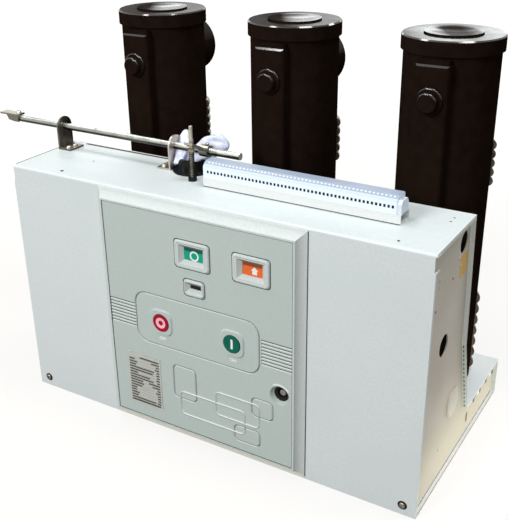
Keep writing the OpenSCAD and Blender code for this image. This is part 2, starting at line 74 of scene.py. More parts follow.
# Axes for flat outlines: local x and y lie in the surface, local z points out of it.
UP = Matrix.Identity(4)
FRONT = Matrix.Rotation(math.radians(90), 4, "X")
RIGHT = Matrix(((0, 0, 1, 0), (1, 0, 0, 0), (0, 1, 0, 0), (0, 0, 0, 1)))
LEFT = Matrix(((0, 0, -1, 0), (-1, 0, 0, 0), (0, 1, 0, 0), (0, 0, 0, 1)))

# Sign of x, word and axes of each side of the housing.
SIDES = ((1, "right", RIGHT), (-1, "left", LEFT))

# Level direction from left to right as the photo shows the object.
ACROSS = (0.853, 0.522, 0)


# ---- camera, lights, floor ----

def srgb(*levels):
    """Linear colour with alpha from screen levels of 0 to 255."""
    return tuple(((v / 255 + 0.055) / 1.055) ** 2.4 for v in levels) + (1.0,)


def add_object(name, data):
    made = bpy.data.objects.new(name, data)
    bpy.context.scene.collection.objects.link(made)
    return made


def make_camera():
    """The camera stands in front of the right-hand corner, above the housing, and looks down."""
    yaw, pitch, roll = (math.radians(a) for a in (31.44, 24.81, -0.83))
    level = math.radians(90)
    data = bpy.data.cameras.new("camera")
    data.sensor_width = 36
    data.lens = 59.27
    camera = add_object("camera", data)
    place = Matrix.Translation((0.70182, -1.18063, 0.89868))
    aim = Matrix.Rotation(yaw, 4, "Z") @ Matrix.Rotation(level - pitch, 4, "X")
    camera.matrix_world = place @ aim @ Matrix.Rotation(roll, 4, "Z")
    bpy.context.scene.camera = camera


def area_light(name, place, aim, size, power, colour=(1, 1, 1), seen=True):
    """A rectangular lamp of a power in watts; seen says whether reflections show it."""
    data = bpy.data.lights.new(name, "AREA")
    data.shape = "RECTANGLE"
    data.size, data.size_y = size
    data.energy = power
    data.color = colour
    light = add_object(name, data)
    light.location = place
    light.visible_camera = False
    light.visible_glossy = seen
    light.rotation_euler = (Vector(aim) - Vector(place)).to_track_quat("-Z", "Y").to_euler()


def add_node(tree, kind, inputs=None, **settings):
    """A new shader node; inputs gives a constant or another node's output for each of its sockets."""
    node = tree.nodes.new("ShaderNode" + kind)
    for name, value in settings.items():
        setattr(node, name, value)
    for socket, value in (inputs or {}).items():
        if isinstance(value, bpy.types.NodeSocket):
            tree.links.new(value, node.inputs[socket])
        else:
            node.inputs[socket].default_value = value
    return node


def map_range(tree, value, low, high, start, end):
    """Takes a value between low and high to one between start and end, and holds it there."""
    ends = {"Value": value, "From Min": low, "From Max": high, "To Min": start, "To Max": end}
    return add_node(tree, "MapRange", ends).outputs[0]


def seen_directly(tree):
    """1 for camera, glossy and transmission rays, 0 for the light that falls on the object."""
    path = add_node(tree, "LightPath")
    total = path.outputs["Is Camera Ray"]
    for name in ("Is Glossy Ray", "Is Transmission Ray"):
        total = add_node(tree, "Math", {0: total, 1: path.outputs[name]}, operation="MAXIMUM").outputs[0]
    return total


def make_world():
    """White where it is seen, dimmer as a light."""
    world = bpy.data.worlds.new("world")
    bpy.context.scene.world = world
    world.use_nodes = True
    tree = world.node_tree
    background = tree.nodes["Background"]
    background.inputs["Color"].default_value = (1, 1, 1, 1)
    tree.links.new(map_range(tree, seen_directly(tree), 0, 1, 0.32, 1.0), background.inputs["Strength"])


def make_floor():
    """A grey floor that takes shadows, with a white glow where it is seen, stronger away from the object."""
    clearance = 0.5 * MM
    bpy.ops.mesh.primitive_plane_add(size=40, location=(0, 0, CAD_BOX[0].z - clearance))
    floor = bpy.context.object
    floor.name = "floor"
    material = bpy.data.materials.new("floor_white")
    material.use_nodes = True
    tree = material.node_tree
    tree.nodes.clear()
    place = add_node(tree, "TexCoord").outputs["Object"]
    distance = add_node(tree, "VectorMath", {0: place}, operation="LENGTH").outputs["Value"]
    glow = map_range(tree, distance, 0.8, 2.6, 0.80, 0.99)
    strength = map_range(tree, seen_directly(tree), 0, 1, 0, glow)
    lit = add_node(tree, "BsdfDiffuse", {"Color": (0.17, 0.162, 0.145, 1)})
    shine = add_node(tree, "Emission", {"Color": (1, 1, 1, 1), "Strength": strength})
    both = add_node(tree, "AddShader", {0: lit.outputs[0], 1: shine.outputs[0]})
    add_node(tree, "OutputMaterial", {"Surface": both.outputs[0]})
    floor.data.materials.append(material)


# ---- materials ----

class Finish:
    """A Principled material whose detail comes from noise in the object's own coordinates."""

    def __init__(self, name, colour, roughness, metallic=0.0, specular=0.5):
        self.material = bpy.data.materials.new(name)
        self.material.use_nodes = True
        self.tree = self.material.node_tree
        self.inputs = self.tree.nodes["Principled BSDF"].inputs
        for socket, value in (("Base Color", colour), ("Roughness", roughness), ("Metallic", metallic),
                              ("Specular IOR Level", specular)):
            self.inputs[socket].default_value = value
        self.coordinates = add_node(self.tree, "TexCoord").outputs["Object"]

    def noise(self, per_metre, detail=2.0, stretch=(1, 1, 1), shift=0.0):
        """Noise with about per_metre features in a metre, drawn out where stretch is below 1."""
        ends = {"Vector": self.coordinates, "Scale": stretch, "Location": (shift, shift, shift)}
        place = add_node(self.tree, "Mapping", ends).outputs[0]
        ends = {"Vector": place, "Scale": per_metre, "Detail": detail}
        return add_node(self.tree, "TexNoise", ends).outputs[0]

    def axis(self, vector, letter):
        return add_node(self.tree, "SeparateXYZ", {0: vector}).outputs[letter]

    def facing(self, letter):
        """How far a face looks along an axis: 1 along it, 0 across it, -1 against it."""
        return self.axis(add_node(self.tree, "NewGeometry").outputs["Normal"], letter)

    def maths(self, operation, first, second):
        return add_node(self.tree, "Math", {0: first, 1: second}, operation=operation).outputs[0]

    def vector_maths(self, operation, first, second=(0, 0, 0)):
        return add_node(self.tree, "VectorMath", {0: first, 1: second}, operation=operation)

    def blend(self, share, first, second):
        return add_node(self.tree, "Mix", {0: share, 2: first, 3: second}).outputs[0]

    def ramp(self, value, low, high, start, end):
        return map_range(self.tree, value, low, high, start, end)

    def stops(self, value, points):
        """A number read off a line through (position, level) points, for values of 0 to 1."""
        line = add_node(self.tree, "ValToRGB", {0: value})
        elements = line.color_ramp.elements
        for i, (position, level) in enumerate(points):
            element = elements[i] if i < 2 else elements.new(position)
            element.position = position
            element.color = (level, level, level, 1)
        return line.outputs[0]

    def mottle(self, value, other, low=0.4, high=0.6):
        """Mixes the base colour with another where value passes from low to high."""
        socket = self.inputs["Base Color"]
        base = socket.links[0].from_socket if socket.is_linked else socket.default_value
        ends = {0: self.ramp(value, low, high, 0, 1), 6: base, 7: other}
        self.tree.links.new(add_node(self.tree, "Mix", ends, data_type="RGBA").outputs[2], socket)

    def roughen(self, value, start, end, low=0.35, high=0.65):
        self.tree.links.new(self.ramp(value, low, high, start, end), self.inputs["Roughness"])

    def bump(self, value, height, strength=1.0):
        socket = self.inputs["Normal"]
        ends = {"Strength": strength, "Distance": height, "Height": value}
        if socket.is_linked:
            ends["Normal"] = socket.links[0].from_socket
        self.tree.links.new(add_node(self.tree, "Bump", ends).outputs[0], socket)

    def shine(self, level, plain):
        """Gloss that changes over the surface, with a plain level for models without it."""
        self.inputs["Specular IOR Level"].default_value = plain
        self.tree.links.new(level, self.inputs["Specular IOR Level"])


def powder_coat(name, colour, shade):
    """Sprayed paint on sheet steel: orange peel, faint cloudiness and a few handled patches."""
    f = Finish(name, colour, 0.42, specular=0.35)
    f.mottle(f.noise(260, 3), shade, 0.35, 0.75)
    f.mottle(f.noise(5, 2, shift=3), shade, 0.45, 0.8)
    f.roughen(f.noise(9, 3), 0.36, 0.50)
    f.bump(f.noise(420, 2), 0.00012, 0.5)
    return f


def moulded(name, colour, shade, roughness=0.5, specular=0.3, grain=700):
    """Moulded plastic with a fine eroded texture."""
    f = Finish(name, colour, roughness, specular=specular)
    f.mottle(f.noise(grain * 0.5, 3), shade, 0.35, 0.75)
    f.roughen(f.noise(30, 2), roughness - 0.06, roughness + 0.06)
    f.bump(f.noise(grain, 2), 0.00010, 0.5)
    return f


def flag(name, colour, shade, window_shadow):
    """Painted indicator flag, with a painted shadow just under the top edge of its window."""
    f = moulded(name, colour, shade, 0.4, 0.15)
    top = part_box("state_flag")[1].z
    f.mottle(f.axis(f.coordinates, "Z"), window_shadow, top - 12.2 * MM, top - 10.4 * MM)
    return f


def top_dimmed(name, upright, level):
    """Plastic with a separate colour for faces that look up."""
    f = moulded(name, upright, upright, 0.38)
    f.mottle(f.facing("Z"), level, 0.45, 0.75)
    return f


def inner_dark(name, outside, inside):
    """Sheet painted outside, with painted deep shade on the face that looks forward into the housing."""
    f = powder_coat(name, outside, outside)
    f.mottle(f.facing("Y"), inside, -0.4, -0.6)
    return f


def cast_resin(name="epoxy"):
    """Dark brown epoxy, glossiest on faces that look up, with slow waves and duller patches."""
    f = Finish(name, srgb(31, 22, 17), 0.11)
    f.mottle(f.noise(60, 3), srgb(25, 17, 13), 0.35, 0.7)
    f.mottle(f.noise(6, 2, shift=2), srgb(34, 24, 18), 0.5, 0.8)
    f.roughen(f.noise(14, 3), 0.08, 0.15)
    f.bump(f.noise(16, 1), 0.0025, 0.25)
    f.bump(f.noise(300, 2), 0.00010, 0.3)
    pole_y = middle("cap_middle").y
    dull = f.ramp(f.axis(f.coordinates, "Y"), pole_y - 60 * MM, pole_y + 30 * MM, 1.0, 0.10)
    up = f.facing("Z")
    raised = f.maths("MULTIPLY", f.ramp(up, 0.2, 0.5, 0.0, 0.8), f.ramp(up, 0.8, 0.95, 1.0, 0.26))
    f.gloss = f.maths("MULTIPLY", raised, dull)
    f.shine(f.gloss, 0.15)
    return f


# Polish of the caps from left to right as (position, level): on the rim and on the raised disc.
SIDE_CAP = (((0, 0.25), (0.35, 0.2), (0.7, 0.5), (1, 0.55)),
            ((0, 0.1), (0.35, 0.15), (0.5, 0.75), (0.62, 1.1), (0.8, 0.9)))
RIGHT_CAP = (((0, 0.4), (0.15, 0.62), (0.36, 0.95), (0.6, 0.55), (0.8, 0.8), (0.9, 1.1)),
             ((0.22, 1.1), (0.32, 0.9), (0.42, 0.3), (0.6, 0.28), (0.72, 0.5), (0.78, 1.0)))


def cap_resin(word, rim, crown):
    """Resin of a pole cap, polished in patches: rim and crown give the polish from left to right."""
    f = cast_resin(f"epoxy_cap_{word}")
    low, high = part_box(f"cap_{word}")
    centre = Vector(((low.x + high.x) / 2, (low.y + high.y) / 2, high.z))
    reach = (high.x - low.x) / 2
    place = f.vector_maths("SUBTRACT", f.coordinates, centre).outputs[0]
    across = f.vector_maths("DOT_PRODUCT", place, ACROSS).outputs["Value"]
    across = f.ramp(across, -reach, reach, 0, 1)
    radius = f.vector_maths("LENGTH", place).outputs["Value"]
    inside = f.ramp(radius, reach * 0.56, reach * 0.60, 1, 0)
    polish = f.maths("POWER", f.blend(inside, f.stops(across, rim), f.stops(across, crown)), 4)
    flat = f.ramp(f.facing("Z"), 0.9, 0.97, 0, 1)
    f.shine(f.blend(flat, f.gloss, f.ramp(polish, 0, 1, 0, 0.3)), 0.15)
    return f


def bright_metal(name, colour, shade, roughness, along=(1, 1, 1), scratches=500):
    """Bare or plated steel with draw marks along one axis and tarnished patches."""
    f = Finish(name, colour, roughness, metallic=1.0)
    f.mottle(f.noise(scratches, 3, stretch=along), shade, 0.4, 0.7)
    f.mottle(f.noise(45, 3, shift=5), shade, 0.5, 0.7)
    f.roughen(f.noise(70, 3), roughness - 0.08, roughness + 0.14)
    f.bump(f.noise(scratches, 2, stretch=along), 0.00008, 0.6)
    return f


def plated(name, upright, level, shade, roughness=0.36):
    """Zinc-plated sheet with tarnished patches, and painted light that makes faces that look up paler."""
    f = Finish(name, upright, roughness, metallic=1.0)
    # Painted light: faces that look up take the paler colour.
    f.mottle(f.facing("Z"), level, 0.5, 0.8)
    f.mottle(f.noise(45, 3, shift=5), shade, 0.52, 0.75)
    f.roughen(f.noise(70, 3), roughness - 0.08, roughness + 0.12)
    f.bump(f.noise(500, 2), 0.00008, 0.6)
    return f


def drawn_bar():
    """Drawn steel bar with fine draw marks, its colour set by facing: painted shade on the underside, grey
    flanks and a painted highlight along the top.
    """
    f = Finish("shaft_steel", srgb(46, 44, 40), 0.26, metallic=1.0)
    up = f.facing("Z")
    # Painted shade below by default, grey flanks, then a painted highlight on faces that look up.
    f.mottle(up, srgb(156, 158, 150), -0.12, 0.14)
    f.mottle(up, srgb(240, 242, 238), 0.60, 0.80)
    lengthwise = (0.02, 1, 1)
    f.mottle(f.noise(330, 2, stretch=lengthwise), srgb(92, 90, 84), 0.58, 0.68)
    f.mottle(f.noise(45, 3, shift=5), srgb(92, 86, 74), 0.6, 0.8)
    f.roughen(f.noise(70, 3), 0.20, 0.36)
    f.bump(f.noise(330, 2, stretch=lengthwise), 0.00006, 0.5)
    return f


def rubber(name, colour, shade):
    f = Finish(name, colour, 0.45, specular=0.08)
    f.mottle(f.noise(90, 3), shade, 0.45, 0.75)
    f.roughen(f.noise(50, 3), 0.35, 0.6)
    f.bump(f.noise(240, 3), 0.0004, 0.5)
    return f


def film():
    """Milky wrapping film: soft sheen, with faint blue patches from noise as painted shade of its folds."""
    f = Finish("wrap_film", srgb(220, 226, 243), 0.32)
    # Darker blue patches: painted shade standing in for the folds.
    f.mottle(f.noise(60, 3), srgb(170, 182, 216), 0.45, 0.75)
    f.mottle(f.noise(25, 2, shift=4), srgb(232, 222, 234), 0.55, 0.8)
    f.roughen(f.noise(90, 2), 0.22, 0.45)
    f.bump(f.noise(130, 4), 0.0016, 0.7)
    f.inputs["Subsurface Weight"].default_value = 0.15
    f.inputs["Subsurface Radius"].default_value = (0.004, 0.004, 0.005)
    return f


def matt(name, colour, shade):
    """Almost glossless plastic or paint, used for painted shade and for a few small dark parts."""
    return moulded(name, colour, shade, 0.6, 0.05)


def mixed(recipes):
    """Materials by name, each from a finish function, its colours as screen levels and its settings."""
    made = {}
    for name, (kind, levels, *settings) in recipes.items():
        made[name] = kind(name, *(srgb(*level) for level in levels), *settings).material
    return made


def make_finishes():
    """The finish of each material slot."""
    upright = (1, 1, 0.03)
    made = mixed({
        "silvered_copper": (bright_metal, ((214, 210, 200), (168, 160, 148)), 0.32),
        # The side plates' darker, warm colour is painted shade: the cover's paint as it looks in warm shade.
        "side_paint": (powder_coat, ((204, 196, 182), (196, 187, 172))),
        "cover_paint": (powder_coat, ((215, 223, 223), (207, 216, 216))),
        "plug_plastic": (moulded, ((226, 222, 212), (216, 211, 200))),
        "frame_plastic": (moulded, ((201, 209, 207), (192, 200, 198))),
        "face_plastic": (moulded, ((187, 198, 194), (181, 192, 189))),
        # The third colour of each flag is the painted shadow under the top edge of its window.
        "flag_green": (flag, ((18, 163, 132), (14, 150, 121), (10, 84, 70))),
        "flag_orange": (flag, ((234, 112, 56), (222, 100, 47), (140, 66, 34))),
        "dial_black": (moulded, ((22, 22, 23), (32, 32, 33)), 0.5, 0.12),
        "button_red": (moulded, ((174, 9, 38), (160, 6, 32)), 0.3, 0.10),
        "button_green": (moulded, ((7, 100, 83), (6, 90, 74)), 0.3, 0.10),
        "spindle_steel": (bright_metal, ((150, 148, 142), (100, 98, 92)), 0.35),
        "plate_metal": (bright_metal, ((184, 186, 178), (174, 177, 170)), 0.46, (0.05, 1, 1), 900),
        "zinc": (plated, ((112, 109, 101), (190, 186, 170), (86, 82, 74))),
        "rod_steel": (bright_metal, ((184, 178, 160), (110, 102, 86)), 0.34, upright, 900),
        "spring_steel": (bright_metal, ((66, 64, 60), (30, 29, 27)), 0.38),
        "grommet_rubber": (rubber, ((24, 24, 25), (44, 43, 42))),
        "rail_paint": (powder_coat, ((220, 223, 222), (215, 218, 216))),
        "strip_plastic": (top_dimmed, ((228, 240, 252), (158, 172, 190))),
        "clamp_plastic": (moulded, ((216, 224, 236), (204, 214, 229)), 0.4),
        "boot_rubber": (rubber, ((4, 5, 6), (13, 14, 17))),
    })
    for slot, finish in (("epoxy", cast_resin()), ("shaft_steel", drawn_bar()), ("wrap_film", film())):
        made[slot] = finish.material
    return made


def make_marks():
    """Finishes that no slot has: printed marks, painted shade and painted light, small parts, and a colour of
    their own for three nodes, two of them painted light and painted shade.
    """
    return mixed({
        "print_white": (moulded, ((240, 242, 240), (230, 233, 231)), 0.45),
        "print_grey": (moulded, ((112, 114, 112), (124, 126, 124)), 0.5),
        "print_black": (moulded, ((50, 50, 50), (66, 66, 66)), 0.5),
        "print_pink": (moulded, ((244, 196, 206), (236, 184, 196)), 0.4),
        "label_yellow": (moulded, ((226, 178, 62), (214, 164, 50)), 0.45),
        "seam_brown": (moulded, ((88, 68, 58), (64, 54, 50)), 0.6, 0.1),
        # Painted shade in gaps, slots and groove walls, and a painted highlight on groove walls that look up.
        "gap_shade": (matt, ((78, 86, 82), (70, 78, 74))),
        "edge_light": (moulded, ((214, 222, 216), (206, 215, 209)), 0.5),
        # Painted shade inside the strip's wire entries.
        "entry_shade": (matt, ((16, 20, 34), (24, 28, 44))),
        # Painted shade on the top walls of the bezels.
        "bezel_shade": (matt, ((132, 140, 136), (122, 130, 126))),
        # Warm painted shade along the outer edge of the bottom lips.
        "lip_edge_shade": (matt, ((178, 166, 144), (166, 154, 132))),
        # Painted light on the base's top, paler than the cover's paint.
        "base_painted_light": (powder_coat, ((247, 253, 253), (240, 248, 249))),
        # Painted light on the tops of the side plates' bottom lips.
        "lip_painted_light": (powder_coat, ((224, 228, 236), (216, 221, 229))),
        # Painted shade on the back plate's inner face.
        "back_inside_shade": (inner_dark, ((215, 223, 223), (14, 14, 15))),
        # Fainter painted shade on groove walls and in the lips' creases.
        "line_shade": (matt, ((116, 127, 122), (108, 119, 114))),
        # Painted warm bounce light on the underside of the panel frame.
        "foot_bounce_light": (powder_coat, ((252, 242, 214), (244, 232, 200))),
        "zinc_pale": (plated, ((190, 182, 174), (196, 188, 168), (150, 142, 130))),
        # Painted light on the rear hems, the relief edges and the ends of the tabs.
        "pale_painted_light": (powder_coat, ((236, 244, 243), (228, 237, 236))),
        # Painted light on the thin sheds, lighter than the poles' resin.
        "shed_painted_light": (moulded, ((122, 107, 84), (80, 66, 50)), 0.28, 0.6, 120),
        # Painted shade in holes and the socket; also the colour of the small top plugs and the left seam.
        "hole_dark": (matt, ((38, 36, 34), (52, 50, 47))),
        "screw_black": (bright_metal, ((46, 45, 43), (24, 24, 23)), 0.4),
    })


# ---- mesh helpers ----

def mesh_from(bm, name):
    """A mesh from a bmesh, with coincident points joined and its faces turned outwards."""
    bmesh.ops.remove_doubles(bm, verts=bm.verts, dist=WELD)
    bmesh.ops.recalc_face_normals(bm, faces=bm.faces)
    mesh = bpy.data.meshes.new(name)
    bm.to_mesh(mesh)
    bm.free()
    return mesh


def piece(name, bm, slot, body="breaker", mark=None, replaces=(), sharp=35):
    """Turns a bmesh into a named piece that rides on a body, in its slot's finish or that of a mark."""
    mesh = mesh_from(bm, name)
    mesh.materials.append(MARKS[mark] if mark else FINISHES[slot])
    mesh.shade_smooth()
    mesh.set_sharp_from_angle(angle=math.radians(sharp))
    made = add_object(name, mesh)
    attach(made, body)
    if replaces:
        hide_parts(*replaces)
    return made


def at(place, axes=UP):
    """A frame at a place, with the axes of its surface."""
    return Matrix.Translation(Vector(place)) @ axes


def bridge(bm, rings, looped=False, wrapped=True, capped=False):
    """Faces from each ring of vertices to the next, and over the two end rings where capped."""
    if capped:
        bm.faces.new(rings[0])
        bm.faces.new(rings[-1][::-1])
    pairs = list(zip(rings, rings[1:]))
    if looped:
        pairs.append((rings[-1], rings[0]))
    for here, there in pairs:
        count = len(here)
        for j in range(count if wrapped else count - 1):
            k = (j + 1) % count
            bm.faces.new([here[j], there[j], there[k], here[k]])


def lathe(bm, profile, place, segments=32, start=0.0, sweep=360.0):
    """Turns a profile of (radius, height) points about the local z axis."""
    closed = sweep >= 360
    rings = []
    for i in range(segments if closed else segments + 1):
        angle = math.radians(start + sweep * i / segments)
        points = [Vector((r * math.cos(angle), r * math.sin(angle), h)) for r, h in profile]
        rings.append([bm.verts.new(place @ point) for point in points])
    bridge(bm, rings, looped=closed, wrapped=False, capped=not closed)


def band(bm, inner, outer, thick, place, segments=48, start=0.0, sweep=360.0):
    """A flat ring between two radii, or a part of one."""
    profile = [(inner, 0), (outer, 0), (outer, thick), (inner, thick), (inner, 0)]
    lathe(bm, profile, place, segments, start, sweep)


def in_mm(points):
    """A profile given in millimetres."""
    return [(r * MM, h * MM) for r, h in points]


def prism(bm, outline, depth, place):
    """A flat outline of (x, y) points with a thickness."""
    ends = [[bm.verts.new(place @ Vector((x, y, z))) for x, y in outline] for z in (0, depth)]
    bridge(bm, ends, capped=True)


def rounded(w, h, r, steps=5):
    """Outline of a rounded rectangle centred on the origin."""
    points = []
    for k, (sx, sy) in enumerate(((1, 1), (-1, 1), (-1, -1), (1, -1))):
        for i in range(steps + 1):
            angle = math.radians(90 * (k + i / steps))
            points.append((sx * (w / 2 - r) + r * math.cos(angle), sy * (h / 2 - r) + r * math.sin(angle)))
    return points


def shift(outline, dx, dy):
    return [(x + dx, y + dy) for x, y in outline]


def patches(name, slot, mark, shape, places, axes=UP, steps=2):
    """One piece of equal thin rectangles; shape is width, height, corner radius and thickness in mm."""
    width, height, corner, thick = (v * MM for v in shape)
    bm = bmesh.new()
    for place in places:
        prism(bm, rounded(width, height, corner, steps), thick, at(place, axes))
    piece(name, bm, slot, mark=mark)


def carved(bm, cutter):
    """The first mesh less the second, both closed."""
    objects = []
    for name, source in (("carve_body", bm), ("carve_tool", cutter)):
        objects.append(add_object(name, mesh_from(source, name)))
    body, tool = objects
    boolean = body.modifiers.new("carve", "BOOLEAN")
    boolean.operation = "DIFFERENCE"
    boolean.solver = "EXACT"
    boolean.object = tool
    result = bmesh.new()
    result.from_object(body, bpy.context.evaluated_depsgraph_get())
    for made in objects:
        bpy.data.objects.remove(made)
    return result


def middle(node):
    """Middle of a CAD node's box."""
    low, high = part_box(node)
    return (low + high) / 2


# ---- small fasteners ----

def dome(radius, height, steps=6):
    """Profile of a low dome from its rim to its crown."""
    points = [(radius, 0.0), (radius, height * 0.25)]
    for i in range(1, steps + 1):
        angle = math.radians(90 * i / steps)
        points.append((radius * math.cos(angle), height * (0.25 + 0.75 * math.sin(angle))))
    points[-1] = (0.0, height)
    return points


def pan_screw(name, place, axes, radius, height, slot="zinc", body="breaker", washer=0.0):
    """Cross-head pan screw, with a plain washer where washer is its radius."""
    bm = bmesh.new()
    base = at(place, axes)
    lathe(bm, [(0.0, -0.2 * MM)] + dome(radius, height), base)
    cutter = bmesh.new()
    arm, width = radius * 0.62, radius * 0.2
    sunk = base @ Matrix.Translation((0, 0, height * 0.45))
    outline = [(width, width), (width, arm), (-width, arm)]
    for _ in range(3):
        outline += [(-y, x) for x, y in outline[-3:]]
    prism(cutter, outline, height, sunk)
    bm = carved(bm, cutter)
    if washer:
        band(bm, radius * 0.7, washer, 0.8 * MM, base @ Matrix.Translation((0, 0, -0.2 * MM)), 32)
    piece(name, bm, slot, body)


def pip(name, place, axes, radius, height, slot, mark=None):
    """Small domed plug or rivet head with a shallow rim."""
    bm = bmesh.new()
    lathe(bm, [(0.0, -0.1 * MM)] + dome(radius, height), at(place, axes), 20)
    piece(name, bm, slot, mark=mark)


def pit(name, place, axes, radius):
    """Small punched hole, shown by a thin dark disc of painted shade on the surface."""
    bm = bmesh.new()
    lathe(bm, in_mm([(0, 0.05), (radius / MM, 0.05), (radius / MM, -0.1), (0, -0.1)]), at(place, axes), 20)
    piece(name, bm, "dial_black", mark="hole_dark")


# ---- control panel ----

def panel_marks():
    """Printed graphics of the control panel and painted shade in its charging socket; words other than ON and
    OFF are left off.
    """
    face_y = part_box("rating_plate")[1].y
    ink = 0.15 * MM
    for name, node, word in (("off_caption", "off_button", "OFF"), ("on_caption", "on_button", "ON")):
        caption(name, word, middle(node) + Vector((0, 0, -30.5 * MM)), face_y)

    bm = bmesh.new()
    ring_at = middle("state_window_bezel") + Vector((0.8 * MM, 0, -2.2 * MM))
    ring_at.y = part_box("state_flag")[0].y
    band(bm, 5.7 * MM, 8.4 * MM, ink, at(ring_at, FRONT))
    piece("open_ring", bm, "plug_plastic", mark="print_white")

    bm = bmesh.new()
    arrow_at = middle("spring_window_bezel") + Vector((3.2 * MM, 0, -1.6 * MM))
    arrow_at.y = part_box("spring_flag")[0].y
    head, half, tall = 6.4 * MM, 4.0 * MM, 6.2 * MM
    arrow = [(-half, -tall), (half, -tall), (half, 0), (head, 0), (0, tall), (-head, 0), (-half, 0)]
    prism(bm, arrow, ink, at(arrow_at, FRONT))
    piece("charged_arrow", bm, "plug_plastic", mark="print_white")

    socket = middle("charging_spindle")
    socket.y = face_y
    # A dark lining of painted shade down the socket's hole and round the foot of its cone.
    bm = bmesh.new()
    well = [(8.85, -19), (8.85, -9.4), (8.95, -9.4), (8.95, -19.3), (5.3, -19.3), (5.3, -19), (8.85, -19)]
    throat = [(11.0, -9.9), (12.8, -6.9), (13.0, -6.8), (11.1, -9.7), (9.0, -9.7), (9.0, -9.9), (11.0, -9.9)]
    for profile in (well, throat):
        lathe(bm, in_mm(profile), at(socket, FRONT), 40)
    piece("socket_well", bm, "dial_black", mark="hole_dark")
    bm = bmesh.new()
    band(bm, 18.5 * MM, 21.2 * MM, ink, at(socket, FRONT), 28, 36, 88)
    piece("turning_arc", bm, "plug_plastic", mark="print_white")


def caption(name, word, place, face_y):
    """A word printed on the panel face, flattened to a mesh."""
    curve = bpy.data.curves.new(name, "FONT")
    curve.body = word
    curve.size = 7.4 * MM
    curve.extrude = 0.1 * MM
    curve.offset = 0.28 * MM
    curve.align_x = curve.align_y = "CENTER"
    carrier = add_object(name + "_text", curve)
    mesh = carrier.to_mesh()
    bm = bmesh.new()
    bm.from_mesh(mesh)
    carrier.to_mesh_clear()
    bpy.data.objects.remove(carrier)
    place.y = face_y
    bm.transform(at(place, FRONT))
    piece(name, bm, "plug_plastic", mark="print_white")


def button_graphics():
    """Ring and bar marks that follow the dish of the buttons and travel with them."""
    dish, ahead, lift = 59 * MM, 58 * MM, 0.06 * MM

    def surface(node, r):
        """The y of the dish at a distance from its middle."""
        return math.sqrt(dish ** 2 - r ** 2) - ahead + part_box(node)[0].y

    centre = middle("off_button")
    radii = [(4.5 + 0.84 * i) * MM for i in range(7)]
    bm = bmesh.new()
    profile = [(r, lift - surface("off_button", r)) for r in radii]
    profile += [(r, -lift - surface("off_button", r)) for r in reversed(radii)]
    profile.append(profile[0])
    lathe(bm, profile, at((centre.x, 0, centre.z), FRONT), 48)
    piece("off_ring", bm, "button_red", "off_button", "print_pink")

    centre = middle("on_button")
    bm = bmesh.new()
    half_w, half_h, count = 2 * MM, 8.5 * MM, 12
    rows = []
    for i in range(count + 1):
        z = half_h * (2 * i / count - 1)
        rows.append([bm.verts.new((centre.x + x, surface("on_button", math.hypot(x, z)) + y, centre.z + z))
                     for x, y in ((-half_w, -lift), (half_w, -lift), (half_w, lift), (-half_w, lift))])
    bridge(bm, rows, capped=True)
    piece("on_bar", bm, "button_green", "on_button", "print_white")


def plate_ruling():
    """Ruled rows and plain dark bars on the rating plate, with no words in them."""
    low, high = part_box("rating_plate")
    width, height = (high.x - low.x), (high.z - low.z)
    centre = (low + high) / 2
    centre.y = low.y
    rows, ink = 18, 0.12 * MM
    bm = bmesh.new()
    base = at(centre, FRONT)
    pitch = height * 0.92 / rows
    top = height * 0.45
    # Lengths of the left and the right bar in a row, as shares of the plate's width.
    left = (0.18, 0.16, 0.24, 0.20, 0.74, 0.70, 0.24, 0.60, 0.70, 0.38, 0.40, 0.34)
    right = (0.34, 0.24, 0.10, 0.14, 0.09, 0.10, 0.09, 0.11, 0.09)
    for i in range(rows):
        z = top - (i + 0.5) * pitch
        first, second = left[i % len(left)], right[i % len(right)]
        start, tall = -0.44 * width, 2.5 * MM
        if i == 0:
            first, second, start, tall = 0.58, 0, -0.12 * width, 2.6 * MM
        if i == rows - 1:
            first, second, tall = 0.88, 0, 3.2 * MM
        for share, x in ((first, start + first * width / 2), (second, (0.46 - second / 2) * width)):
            if share:
                prism(bm, shift(rounded(share * width, tall, 0.6 * MM, 2), x, z), ink, base)
    piece("plate_bars", bm, "dial_black", mark="print_black")
    bm = bmesh.new()
    for i in range(1, rows):
        prism(bm, shift(rounded(width * 0.9, 0.35 * MM, 0.15 * MM, 2), 0, top - i * pitch), ink, base)
    piece("plate_ruling", bm, "dial_black", mark="print_grey")
    for i, (sx, sz) in enumerate(((-1, 1), (1, 1), (-1, -1), (1, -1))):
        place = centre + Vector((sx * (width / 2 - 2.5 * MM), 0, sz * (height / 2 - 2.5 * MM)))
        pip(f"plate_rivet_{i}", place, FRONT, 1.3 * MM, 0.6 * MM, "plate_metal")


def wall_skin(bm, path, plane, deep, offset, width, raised=False, closed=True, bright=False):
    """A thin skin on one wall of a V groove or ridge: painted shade on the wall in shade, or a painted
    highlight on the bright wall that looks up.
    """
    light = Vector((0.45, 0, 0.89))
    lit = light * (-1 if raised != bright else 1)
    lift, thick = 0.10 * MM, 0.2 * MM
    count = len(path)
    rows = []
    for i, (x, z) in enumerate(path):
        before = path[i - 1] if closed or i else path[i]
        after = path[(i + 1) % count] if closed or i < count - 1 else path[i]
        along = Vector((after[0] - before[0], 0, after[1] - before[1])).normalized()
        out = Vector((along.z, 0, -along.x))
        middle_at = offset * out.dot(lit)
        row = []
        for across, sink in ((-0.5, 0), (0.5, 0), (0.5, 1), (-0.5, 1)):
            step = middle_at + across * width
            depth = max(0.0, deep - abs(step)) * (-1 if raised else 1)
            place = Vector((x, plane + depth - lift + sink * thick, z)) + out * step
            row.append(bm.verts.new(place))
        rows.append(row)
    bridge(bm, rows, looped=closed, capped=not closed)


